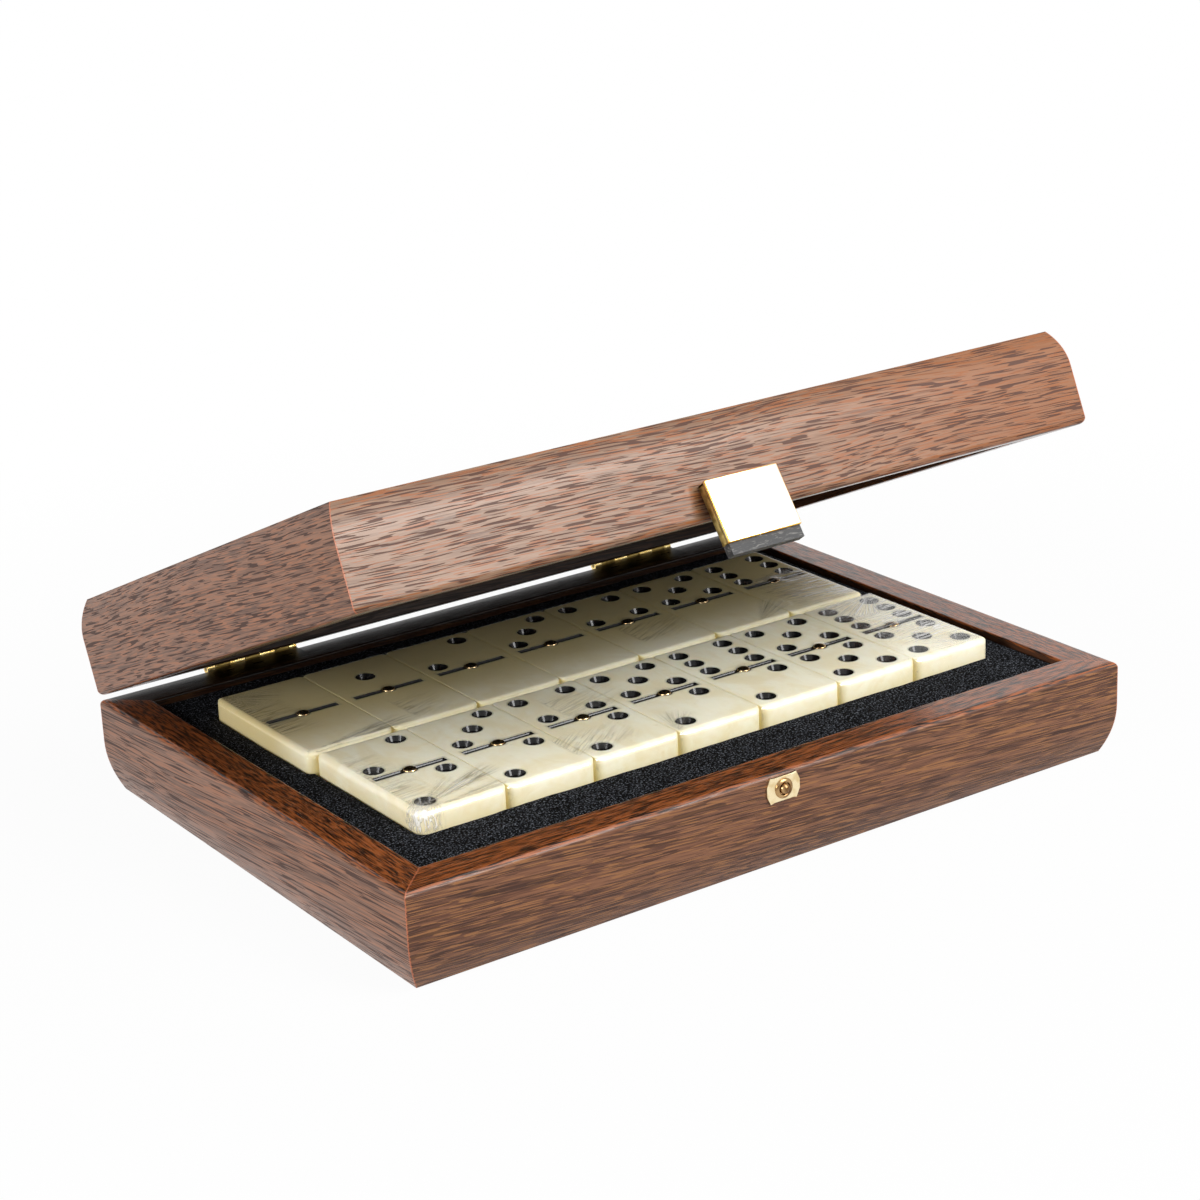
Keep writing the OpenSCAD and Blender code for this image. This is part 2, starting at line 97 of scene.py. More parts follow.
def latch_place():
    """Turns what is laid out about the latch's bending line to where the latch stands."""
    return lid_place() @ Matrix.Translation(LATCH_AXIS) @ Matrix.Rotation(-LATCH_OUT, 4, "X")


def keeper_place():
    """Lays what is turned about Z on the front of the box at the stud, facing out."""
    return Matrix.Translation((LATCH_AXIS.x, -BOX_D / 2, KEEPER_Z)) @ Matrix.Rotation(math.radians(90), 4, "X")


# ---- camera and lamps ----

CAMERA_AZIMUTH, CAMERA_ELEVATION, CAMERA_ROLL = -34.101, 19.616, -2.544  # degrees
CAMERA_TARGET, CAMERA_DISTANCE = Vector((50.628, 76.539, 20)), 912.696
CAMERA_LENS, CAMERA_SENSOR = 85.615, 36
CAMERA_NEAR, CAMERA_FAR = 0.01, 50  # metres


def set_camera():
    """A camera that looks at its target from its azimuth and elevation, and leans by its roll."""
    turn, tilt, lean = (math.radians(angle) for angle in (CAMERA_AZIMUTH, CAMERA_ELEVATION, CAMERA_ROLL))
    back = Vector((math.sin(turn) * math.cos(tilt), -math.cos(turn) * math.cos(tilt), math.sin(tilt)))
    right = (-back).cross(Vector((0, 0, 1))).normalized()
    up = right.cross(-back)
    leaning_right = right * math.cos(lean) + up * math.sin(lean)
    leaning_up = up * math.cos(lean) - right * math.sin(lean)
    camera = bpy.data.objects.new("camera", bpy.data.cameras.new("camera"))
    camera.data.sensor_width, camera.data.lens = CAMERA_SENSOR, CAMERA_LENS
    camera.data.clip_start, camera.data.clip_end = CAMERA_NEAR, CAMERA_FAR
    axes = Matrix((leaning_right, leaning_up, back)).transposed().to_4x4()
    camera.matrix_world = Matrix.Translation((CAMERA_TARGET + back * CAMERA_DISTANCE) * MM) @ axes
    bpy.context.scene.collection.objects.link(camera)
    bpy.context.scene.camera = camera


def add_softbox(name, direction, distance, width, height, power):
    """A lamp that is aimed at the origin from a direction; its sizes are in metres and its power in watts."""
    lamp = bpy.data.lights.new(name, "AREA")
    lamp.shape, lamp.size, lamp.size_y, lamp.energy = "RECTANGLE", width, height, power
    softbox = bpy.data.objects.new(name, lamp)
    towards = Vector(direction).normalized()
    softbox.matrix_world = Matrix.Translation(towards * distance) @ towards.to_track_quat("Z", "Y").to_matrix().to_4x4()
    bpy.context.scene.collection.objects.link(softbox)


def paint(red, green, blue):
    """A display colour out of 255, as the linear colour that shaders take."""
    channels = [value / 255 for value in (red, green, blue)]
    return (*(c / 12.92 if c <= 0.04045 else ((c + 0.055) / 1.055) ** 2.4 for c in channels), 1)


# ---- shader maths ----


class Wire:
    """A shader socket that arithmetic can be done on."""

    def __init__(self, finish, socket):
        self.finish, self.socket = finish, socket

    def calculate(self, operation, *terms):
        """The wire from a maths node on these terms."""
        return self.finish.node("ShaderNodeMath", {"operation": operation}, dict(enumerate(terms)))

    def __add__(self, other):
        return self.calculate("ADD", self, other)

    __radd__ = __add__

    def __sub__(self, other):
        return self.calculate("SUBTRACT", self, other)

    def __rsub__(self, other):
        return self.calculate("SUBTRACT", other, self)

    def __mul__(self, other):
        return self.calculate("MULTIPLY", self, other)

    __rmul__ = __mul__

    def __truediv__(self, other):
        return self.calculate("DIVIDE", self, other)

    def __abs__(self):
        return self.calculate("ABSOLUTE", self)

    def most(self, other):
        return self.calculate("MAXIMUM", self, other)

    def least(self, other):
        return self.calculate("MINIMUM", self, other)

    def rise(self, low, high):
        """0 up to low, 1 from high, and a soft step between; high may be the lower one."""
        ends = {"Value": self, "From Min": low, "From Max": high}
        return self.finish.node("ShaderNodeMapRange", {"interpolation_type": "SMOOTHSTEP"}, ends)


class Finish:
    """A material under construction."""

    def __init__(self, name):
        self.material = bpy.data.materials.new(name)
        self.material.use_nodes = True
        self.tree = self.material.node_tree
        self.tree.nodes.clear()

    def node(self, kind, settings=None, inputs=None, output=0):
        """Adds a node, fed with wires or plain values, and gives the wire from one of its outputs."""
        made = self.tree.nodes.new(kind)
        for name, value in (settings or {}).items():
            setattr(made, name, value)
        for name, value in (inputs or {}).items():
            if isinstance(value, Wire):
                self.tree.links.new(value.socket, made.inputs[name])
            else:
                made.inputs[name].default_value = value
        return Wire(self, made.outputs[output])

    def place(self, on_lid=False):
        """The point in millimetres in the box's shut position."""
        turn = LID_OPEN if on_lid else 0
        shift = HINGE - Matrix.Rotation(turn, 3, "X") @ HINGE
        point = self.node("ShaderNodeTexCoord", output="Object")
        ways = {"Vector": point, "Location": shift, "Rotation": (turn, 0, 0), "Scale": (1 / MM,) * 3}
        return self.node("ShaderNodeMapping", {"vector_type": "POINT"}, ways)

    def carried(self, name, output="Fac"):
        """What the mesh's points carry under a name: a number, or with the output "Vector" a triple."""
        return self.node("ShaderNodeAttribute", {"attribute_name": name}, output=output)

    def parts(self, point):
        """The x, y and z of a point."""
        return [self.node("ShaderNodeSeparateXYZ", inputs={"Vector": point}, output=axis) for axis in range(3)]

    def point(self, x, y, z):
        return self.node("ShaderNodeCombineXYZ", inputs={"X": x, "Y": y, "Z": z})

    def noise(self, point, detail=2.0, roughness=0.5, distortion=0.0, scale=1.0):
        ways = {"Vector": point, "Scale": scale, "Detail": detail, "Roughness": roughness, "Distortion": distortion}
        return self.node("ShaderNodeTexNoise", inputs=ways)

    def mix(self, share, first, second):
        """The first colour, going over to the second as share goes to 1; sockets 0, 6 and 7 are those for colours."""
        return self.node("ShaderNodeMix", {"data_type": "RGBA"}, {0: share, 6: first, 7: second}, output=2)

    def bump(self, height, strength, depth):
        """Normals of a surface that height, from 0 to 1, raises by depth millimetres."""
        return self.node("ShaderNodeBump", inputs={"Strength": strength, "Distance": depth * MM, "Height": height})

    def done(self, **sockets):
        """Ends in a principled shader; an underscore in a socket's name stands for a space."""
        shader = self.node("ShaderNodeBsdfPrincipled", inputs={key.replace("_", " "): v for key, v in sockets.items()})
        self.tree.links.new(shader.socket, self.tree.nodes.new("ShaderNodeOutputMaterial").inputs["Surface"])
        return self.material


# ---- finishes ----


def walnut(
    name, along, seed, ground, glow, pore, lines, dash, on_lid=False, slant=0.05, rows=0, rim=True, shade=1.0, sheen_fade=0.0
):
    """Lacquered walnut veneer: its grain runs along "x" or "y", and its sanded edges show orange wood.

    ground is the veneer's light and dark colour, glow its warm patches, and pore its short dashes and its long
    streaks, which show as strongly as lines says. A dash has a length, a width and a strength. The grain climbs by
    slant, and the dashes gather in rows that climb by rows more. A piece without a rim has no sanded edges. The
    inner walls of the others are painted dark brown, as painted shade inside the box, and as shade falls below 1
    their sanded edges, inner walls and mitre joints take more painted shade, for a rail in the lid's shadow. The
    veneer warms to the right by sheen_fade, as the painted sheen of a lighter ground fades.
    """
    f = Finish(name)
    x, y, z = f.parts(f.place(on_lid))
    run, side = (x, y) if along == "x" else (y, x)
    sway = f.noise(f.point(run * 0.012 + seed, side * 0.04, z * 0.04), detail=1) * 5
    up, across = z + run * slant + sway, side + sway

    def streaks(length, width, detail, shift):
        """Noise in strands of about this length and width; the shift keeps one kind apart from the others."""
        return f.noise(f.point(run / length + seed + shift, across / width, up / width), detail=detail, roughness=0.6)

    patches = streaks(70.0, 3.6, detail=3, shift=0.0)
    strands = streaks(20.0, 0.6, detail=2, shift=4.7)
    fibres = streaks(8.0, 0.4, detail=1, shift=9.1)
    bands = f.noise(f.point(run * 0.03 - seed, side * 0.3, (z + run * (slant + rows) + sway) * 0.9), detail=2)
    dash_length, dash_width, dash_strength = dash
    short = streaks(dash_length, dash_width, detail=0, shift=13.9) + (bands - 0.5) * 0.14
    long = streaks(30.0, 0.42, detail=1, shift=17.2) + (patches - 0.5) * 0.3
    flecks = streaks(dash_length * 0.8, dash_width, detail=0, shift=23.1) + (patches - 0.5) * 0.2
    pits = short.rise(0.58, 0.62) * dash_strength
    drawn = long.rise(0.58, 0.65) * lines

    body = f.mix((patches * 0.36 + strands * 0.34 + fibres * 0.3).rise(0.4, 0.6), *ground)
    # painted sheen fading to the right: the veneer warms towards glow by sheen_fade
    sheen_faded = f.mix(x.rise(-20.0, 110.0) * sheen_fade, body, glow)
    warm = f.mix(flecks.rise(0.56, 0.6) * 0.9, sheen_faded, glow)
    dash_colour, line_colour = pore
    lined = f.mix(drawn, warm, line_colour)
    veneer = f.mix(pits * 0.92, lined, dash_colour)

    sanded = 1.0 if rim else 0.0
    from_rim = z - LID_RIM_Z if on_lid else RIM_Z - z
    wave = f.noise(f.point(run * 0.05 + seed, 0.5, 0.5), detail=3) * 1.2 + (strands - 0.5) * 0.6
    reach = 0.35 if on_lid else 0.7
    bare = (from_rim + wave - 0.6).rise(reach + 0.15, reach - 0.15) * sanded
    # the orange of the sanded edges, scaled down by shade as painted shade on the back rails
    rim_wood = [paint(*(channel * shade for channel in wood)) for wood in ((140, 76, 36), (26, 12, 6))]
    orange = f.mix((strands * 0.5 + fibres * 0.5).rise(0.42, 0.58), *rim_wood)
    # painted shade inside the box: the rails' inner walls are painted dark brown, darker still as shade falls
    inner_wall_shade = (abs(x) - (BOX_W / 2 - RAIL_W)).most(abs(y) - (BOX_D / 2 - RAIL_W)).rise(0.5, 0.3)
    walls = f.mix(inner_wall_shade * (0.75 * sanded), veneer, paint(60 * shade, 34 * shade, 20 * shade))
    shown = f.mix(bare * 0.96, walls, orange)
    flat_top = from_rim.rise(0.45, 0.15) * sanded

    from_mitre = abs((abs(x) - BOX_W / 2) - (abs(y) - BOX_D / 2)) * 0.707 + (fibres - 0.5) * 0.5
    joint = from_mitre.rise(0.26, 0.08) * (0.7 * sanded)
    relief = 1 - pits * 0.7 - drawn * 0.4 - joint + fibres * 0.15
    return f.done(
        # the mitre joints' light orange, scaled down by shade as painted shade on the back rails
        Base_Color=f.mix(joint, shown, paint(176 * shade, 102 * shade, 70 * shade)),
        Roughness=0.32 + pits * 0.2 + (patches - 0.5) * 0.1 + (bare - flat_top).most(0.0) * 0.08,
        Normal=f.bump(relief, 0.5, 0.08),
        Specular_IOR_Level=0.32,
        Coat_Weight=flat_top * (0.25 + 0.55 * shade),
        Coat_Roughness=0.18,
    )


def foam(name, on_lid=False, glint=1.0):
    """Black cut foam with a granular skin and lighter specks of painted glint."""
    f = Finish(name)
    point = f.place(on_lid)
    cells = f.noise(point, detail=1, roughness=0.6, scale=1.7)
    flecks = f.noise(point, detail=0, scale=2.1)
    drifts = f.noise(point, detail=2, scale=0.12)
    grains = cells.rise(0.52, 0.62) * (0.4 + drifts)
    # painted glints: lighter specks, as strong as glint says
    glint_specks = flecks.rise(0.6, 0.74) * glint
    grainy = f.mix(grains * 0.7, paint(0, 0, 0), paint(48, 50, 55))
    colour = f.mix(glint_specks * 0.62, grainy, paint(108, 112, 120))
    return f.done(
        Base_Color=colour, Roughness=0.95, Normal=f.bump(cells + flecks * 0.5, 0.7, 0.3), Specular_IOR_Level=0.05
    )


def ivory(name):
    """Cast ivory resin with faint swirls.

    It is deeper lower down, darker and more golden towards the back as painted shade of the lid, a lighter yellow
    in the seams as painted light, and grey-green round each painted hollow as painted shade.
    """
    f = Finish(name)
    point = f.place()
    x, y, z = f.parts(point)
    clouds = f.noise(f.point(x * 0.05, y * 0.05, z * 0.05), detail=3, roughness=0.55, distortion=1.6)
    veins = f.noise(f.point(x * 0.16, y * 0.05, z * 0.16), detail=2, distortion=2.2)
    face = f.mix((clouds * 0.65 + veins * 0.35).rise(0.35, 0.65), paint(250, 245, 222), paint(242, 231, 196))
    deep = f.mix(z.rise(31.6, 22.0) * 0.7, face, paint(214, 196, 132))
    hollow_shade = f.carried("hollow_shade")
    # painted shade of the lid: darker and more golden towards the back row
    lid_shaded = f.mix(y.rise(-4.0, 24.0) * 0.9, deep, paint(208, 190, 137))
    # painted light in the seams: a lighter yellow where the edges drop into them
    seam = f.carried("seam")
    painted_seam_light = f.mix(seam * 0.75, lid_shaded, paint(240, 224, 160))
    # painted shade, grey-green, round each painted hollow
    colour = f.mix(hollow_shade * 0.55, painted_seam_light, paint(120, 126, 104))
    wear = f.noise(point, detail=2, scale=0.9)
    return f.done(
        Base_Color=colour,
        Roughness=0.24 + wear * 0.12,
        Normal=f.bump(wear, 0.25, 0.03),
        Subsurface_Weight=0.18,
        Subsurface_Radius=(0.0035, 0.0025, 0.0012),  # metres
        Subsurface_Scale=1.0,
        Specular_IOR_Level=0.35,
    )


def pip_paint(name):
    """Glossy black paint, a little uneven, and dull in the grooves of the back row."""
    f = Finish(name)
    point = f.place()
    y = f.parts(point)[1]
    dull = abs(y - ROW_Y).rise(2.4, 2.0)
    flow = f.noise(point, detail=2, scale=0.8)
    colour = f.mix(flow.rise(0.4, 0.7), paint(14, 14, 15), paint(34, 33, 33))
    gloss = 0.1 + flow * 0.1 + dull * 0.5
    return f.done(Base_Color=colour, Roughness=gloss, Normal=f.bump(flow, 0.3, 0.06), Specular_IOR_Level=0.4)


def brass(name, bright, dull, roughness, marks=0.5, on_lid=False, shaded=None):
    """Polished or tarnished brass with fine rubbing marks, painted near black in front of the line y = shaded if it is
    given, as painted shade.
    """
    f = Finish(name)
    point = f.place(on_lid)
    x, y, z = f.parts(point)
    tarnish = f.noise(point, detail=3, scale=0.35)
    rubs = f.noise(f.point(x * 0.6, y * 5, z * 5), detail=2)
    colour = f.mix(tarnish.rise(0.42, 0.68), bright, dull)
    # painted shade, near black, in front of the line y = shaded
    if shaded:
        colour = f.mix(y.rise(shaded, shaded - 0.2) * 0.97, colour, paint(9, 7, 5))
    return f.done(
        Base_Color=colour,
        Metallic=1.0,
        Roughness=roughness + tarnish * 0.1 + rubs * 0.06 * marks,
        Normal=f.bump(rubs, 0.2 * marks, 0.01),
    )


def rubber(name):
    """Black flexible strip on the lid, lighter grey in streaks."""
    f = Finish(name)
    point = f.place(on_lid=True)
    x, y, z = f.parts(point)
    grey_streaks = f.noise(f.point(x * 0.35, y * 1.2, z * 1.6), detail=4, roughness=0.65, distortion=0.8)
    pores = f.noise(point, detail=1, scale=3.0)
    colour = f.mix(grey_streaks.rise(0.5, 0.72), paint(31, 31, 32), paint(116, 114, 110))
    return f.done(Base_Color=colour, Roughness=0.5 + grey_streaks * 0.2, Normal=f.bump(pores + grey_streaks, 0.4, 0.1))


def film(name):
    """Clear shrink film that mirrors at a low angle and turns white where it is creased.

    On top of the tiles its finest creases are painted dark, as a painted reflection of the dark lid, except at its
    right end and its front left corner. Its white creases are partly the milky whitening of crumpled film and partly
    a painted highlight.
    """
    f = Finish(name)
    stripe, reach, strength = f.parts(f.carried("crease", "Vector"))
    x, y, z = f.parts(f.place())

    def folds(spacing, layer, thin):
        """Lines that run along the stripes, about a spacing apart; thin is how much of the noise they take."""
        drift = f.noise(f.point(stripe / spacing, reach * 0.06, layer), detail=1, distortion=0.3)
        return abs(drift - 0.5).rise(thin, thin * 0.3)

    lines = folds(1.3, 3.3, 0.09)
    hairs = folds(1.5, 8.1, 0.06)
    # where it is creased the film turns white: partly the milky whitening of crumpled film, partly a painted highlight
    creased = ((lines * 0.7 + hairs * 0.9) * strength).least(1.0)
    on_top = z.rise(TOP_LAYER_Z - 0.9, TOP_LAYER_Z - 0.3)
    # painted reflection of the dark lid in the finest creases on top of the tiles
    dark = hairs * on_top * x.rise(76.0, 66.0) * (x + y).rise(-146.0, -140.0)
    waves = f.noise(f.place(), detail=3, scale=0.09, distortion=1.2)
    normal = f.bump(waves * 0.5 + creased * 0.25, 0.35, 0.6)
    slope = f.node("ShaderNodeLayerWeight", inputs={"Blend": 0.5, "Normal": normal}, output="Facing")
    mirror = slope * slope * slope * slope * slope * 0.75 + 0.03
    return f.done(
        Base_Color=f.mix(dark, paint(252, 251, 248), paint(158, 148, 120)),
        Metallic=1 - creased,
        Roughness=0.06 + creased * 0.3,
        Alpha=(mirror + creased * 0.75).least(0.88),
        Normal=normal,
    )


def backdrop(name, shade, reach):
    """Floor, white to the eye and in mirrors, that shows the box's shadow by a share of shade, out to a reach."""
    f = Finish(name)
    rays = ("Is Camera Ray", "Is Glossy Ray", "Is Transmission Ray")
    camera, glossy, clear = (f.node("ShaderNodeLightPath", output=ray) for ray in rays)
    seen = camera.most(glossy).most(clear)
    point = f.place()
    away = f.node("ShaderNodeVectorMath", {"operation": "LENGTH"}, {0: point}, output="Value")
    paper = f.noise(point, detail=1, scale=0.02)
    matte = f.node("ShaderNodeBsdfDiffuse", inputs={"Color": f.mix(paper, paint(196, 196, 196), paint(200, 200, 200))})
    glow = f.node("ShaderNodeEmission", inputs={"Color": (1, 1, 1, 1), "Strength": 1.0})
    share = seen * (1 - away.rise(reach, reach * 0.4) * shade)
    both = f.node("ShaderNodeMixShader", inputs={0: share, 1: matte, 2: glow})
    f.tree.links.new(both.socket, f.tree.nodes.new("ShaderNodeOutputMaterial").inputs["Surface"])
    return f.material


def light_world(level):
    """A world that is white to the eye and in mirrors, and that lights everything else at a lower level."""
    world = bpy.data.worlds.new("studio")
    world.use_nodes = True
    bpy.context.scene.world = world
    nodes, links = world.node_tree.nodes, world.node_tree.links
    nodes.clear()
    path = nodes.new("ShaderNodeLightPath")
    seen = path.outputs["Is Camera Ray"]
    for other in ("Is Glossy Ray", "Is Transmission Ray"):
        either = nodes.new("ShaderNodeMath")
        either.operation = "MAXIMUM"
        links.new(seen, either.inputs[0])
        links.new(path.outputs[other], either.inputs[1])
        seen = either.outputs[0]
    strength = nodes.new("ShaderNodeMapRange")
    links.new(seen, strength.inputs["Value"])
    strength.inputs["To Min"].default_value = level
    strength.inputs["To Max"].default_value = 1.0
    sky = nodes.new("ShaderNodeBackground")
    links.new(strength.outputs[0], sky.inputs["Strength"])
    links.new(sky.outputs[0], nodes.new("ShaderNodeOutputWorld").inputs["Surface"])


# ---- mesh helpers ----


def rounded_outline(corners, radius, steps=8):
    """Points round a polygon whose corners are rounded, anticlockwise, each with its direction outwards."""
    points = []
    count = len(corners)
    for index in range(count):
        here = Vector(corners[index])
        before, after = Vector(corners[index - 1]) - here, Vector(corners[(index + 1) % count]) - here
        half = before.angle(after) / 2
        room = 0.49 * min(before.length, after.length)
        r = min(radius, room * math.tan(half))
        centre = here + (before.normalized() + after.normalized()).normalized() * (r / math.sin(half))
        first = here + before.normalized() * (r / math.tan(half)) - centre
        last = here + after.normalized() * (r / math.tan(half)) - centre
        sweep = first.angle_signed(last, 0)
        for step in range(steps + 1):
            spoke = Matrix.Rotation(-sweep * step / steps, 2) @ first
            outward = spoke.normalized() * (1 if sweep < 0 else -1)
            points.append((centre + spoke, outward))
    return points


def rectangle(width, length):
    """Corners of a rectangle round the origin."""
    half_w, half_l = width / 2, length / 2
    return [(-half_w, -half_l), (half_w, -half_l), (half_w, half_l), (-half_w, half_l)]


def stepped_block(half_w, half_l):
    """Corners of the two rows of tiles, the front row moved right and the back row left."""
    low_x, high_x = ROW_SHIFT - half_w, ROW_SHIFT + half_w
    front = [(low_x, -half_l), (high_x, -half_l), (high_x, 0), (-low_x, 0)]
    return front + [(-x, -y) for x, y in front]


def row_middle(y):
    """Where the middle tile of the row at y lies."""
    return ROW_SHIFT if y < 0 else -ROW_SHIFT


def inside(point, outline):
    """Whether a point lies inside a closed outline."""
    crossings = 0
    for (ax, ay), (bx, by) in zip(outline, outline[1:] + outline[:1]):
        if (ay > point[1]) != (by > point[1]) and point[0] < (bx - ax) * (point[1] - ay) / (by - ay) + ax:
            crossings += 1
    return crossings % 2 == 1


CUT_TO_LOOPS, MERGE_DISTANCE = 1, 1e-7  # the kind of output and the tolerance that delaunay_2d_cdt is given


def flat_sheet(loops, holes=(), extra=()):
    """Triangles inside the first of the closed loops and outside those that are holes, through extra points as well.

    Returns the points, the triangles and where each loop's points went.
    """
    points, edges, spans = [], [], []
    for loop in loops:
        start = len(points)
        points += [Vector(p) for p in loop]
        edges += [(start + i, start + (i + 1) % len(loop)) for i in range(len(loop))]
        spans.append(range(start, start + len(loop)))
    points += [Vector(p) for p in extra]
    made, _, faces, origins, _, _ = delaunay_2d_cdt(points, edges, [], CUT_TO_LOOPS, MERGE_DISTANCE)
    found = {old: new for new, olds in enumerate(origins) for old in olds}
    keep = []
    bounds = [(h, min(p[0] for p in loops[h]), max(p[0] for p in loops[h])) for h in holes]
    for face in faces:
        middle = sum((made[i] for i in face), Vector((0, 0))) / len(face)
        if not any(low < middle.x < high and inside(middle, loops[h]) for h, low, high in bounds):
            keep.append(face)
    return made, keep, [[found[i] for i in span] for span in spans]


def fill(mesh, verts, faces):
    """Adds faces that are given as places in a list of vertices."""
    for face in faces:
        mesh.faces.new([verts[i] for i in face])


def stack_rings(mesh, rings, material=0):
    """Joins rings of vertices, each as long as the last, with four-sided faces."""
    for upper, lower in zip(rings, rings[1:]):
        for i in range(len(upper)):
            j = (i + 1) % len(upper)
            if len({upper[i], upper[j], lower[j], lower[i]}) == 4:
                mesh.faces.new((upper[i], lower[i], lower[j], upper[j])).material_index = material


def ring(mesh, points, z):
    """Vertices at flat points, all at one height."""
    return [mesh.verts.new((p[0], p[1], z)) for p in points]


def inset(outline, depth):
    """The points of an outline, moved inwards by depth."""
    return [point - outward * depth for point, outward in outline]


def quarter_turns(steps):
    """Angles in even steps from just above 0 to 90 degrees."""
    return [math.radians(90 * step / steps) for step in range(1, steps + 1)]


def edge_profile(radius, steps):
    """Insets and drops down a rounded top edge."""
    return [(radius * (1 - math.sin(turn)), radius * (1 - math.cos(turn))) for turn in quarter_turns(steps)]


def finish_piece(name, mesh, materials, body, stands_for=(), place=None, crisp=None):
    """Makes a piece from a mesh laid out in millimetres, with crisp edges where it turns by more than crisp degrees."""
    bmesh.ops.recalc_face_normals(mesh, faces=mesh.faces)
    mesh.transform(Matrix.Scale(MM, 4) @ (place or Matrix.Identity(4)))
    data = bpy.data.meshes.new(name)
    mesh.to_mesh(data)
    mesh.free()
    data.shade_smooth()
    for material in materials:
        data.materials.append(material)
    piece = bpy.data.objects.new(name, data)
    bpy.context.scene.collection.objects.link(piece)
    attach(piece, body)
    if stands_for:
        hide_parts(*stands_for)
    if crisp:
        data.set_sharp_from_angle(angle=math.radians(crisp))
    return piece


def slab(mesh, low, high, edge, segments):
    """A block from its low to its high corner, with rounded edges."""
    before = set(mesh.verts)
    bmesh.ops.create_cube(mesh, size=1)
    fresh = [v for v in mesh.verts if v not in before]
    low, high = Vector(low), Vector(high)
    for v in fresh:
        v.co = Vector((low[i] + (v.co[i] + 0.5) * (high[i] - low[i]) for i in range(3)))
    sides = list({e for v in fresh for e in v.link_edges})
    round_edge = dict(segments=segments, profile=0.5, affect="EDGES", clamp_overlap=True)
    bmesh.ops.bevel(mesh, geom=sides, offset=edge, **round_edge)


def round_points(x, y, radius, steps):
    """Points of a circle, anticlockwise."""
    angles = [2 * math.pi * i / steps for i in range(steps)]
    return [(x + radius * math.cos(angle), y + radius * math.sin(angle)) for angle in angles]


TURNED_STEPS = 32  # points round what is turned


def turned(mesh, profile, material=0):
    """A solid turned about Z from (radius, height) pairs."""
    rings = []
    for radius, height in profile:
        if radius == 0:
            rings.append([mesh.verts.new((0, 0, height))] * TURNED_STEPS)
        else:
            rings.append(ring(mesh, round_points(0, 0, radius, TURNED_STEPS), height))
    for upper, lower in zip(rings, rings[1:]):
        for i in range(TURNED_STEPS):
            j = (i + 1) % TURNED_STEPS
            corners = list(dict.fromkeys((upper[i], lower[i], lower[j], upper[j])))
            if len(corners) > 2:
                mesh.faces.new(corners).material_index = material


# ---- tiles ----

PIP_STEPS = 28  # points round a pip
EDGE_STEPS = 8  # steps over a tile's rounded edge
LIP = 0.06  # width and depth of the bevel round a pip and round the groove
PIP_FOOT = 0.75  # share of its radius that a pip keeps at its floor
PIP_SHADE_REACH, GROOVE_SHADE_REACH = 0.6, 0.8  # how far the painted shade reaches round a pip and round the groove
TILE_LAND = 0.3  # width of the flat strip inside a tile's rounded edge


def pip_places(count):
    """Middles of the pips of one half, in units of the pip spacing."""
    places = [(0, 0)] if count % 2 else []
    for least, pair in ((2, (-1, -1)), (4, (-1, 1)), (6, (-1, 0))):
        if count >= least:
            places += [pair, (-pair[0], -pair[1])]
    return places


def groove_points(grow):
    """Outline of the dividing groove and its round seat for the spinner, grown by some amount."""
    end, half, seat = GROOVE_L / 2 + grow, GROOVE_W / 2 + grow, SPINNER_SEAT_R + grow
    lift = math.asin(half / seat)
    steps, corner = 10, 0.18
    arc = [lift + (math.pi - 2 * lift) * i / steps for i in range(steps + 1)]
    upper = [(end, half - corner), (end - corner, half)]
    upper += [(seat * math.cos(a), seat * math.sin(a)) for a in arc] + [(corner - end, half), (-end, half - corner)]
    return upper + [(-x, -y) for x, y in upper]


# inset and depth of the lip, the steep edge and the slope of the dividing groove
GROOVE_STEPS = ((LIP, LIP), (0.1, 0.2), (0.34, 0.62), (0.5, GROOVE_DEPTH))


def edge_softness(outward, open_side, row):
    """Radius of a tile's edge that faces outward, and how far that edge closes a seam with a neighbour, up to 1.

    open_side is the side, -1 or 1, with no neighbour, or 0; row is 1 for the back row and -1 for the front row.
    """
    open_share = outward.x**2 if outward.x * open_side > 0 else 0
    faces_row = outward.y * row < 0
    end_radius = ROW_EDGE_R[row] if faces_row else END_EDGE_R
    radius = SEAM_EDGE_R + (end_radius - SEAM_EDGE_R) * max(outward.y**2, open_share)
    return radius, outward.x**2 - open_share + (outward.y**2 if faces_row else 0)


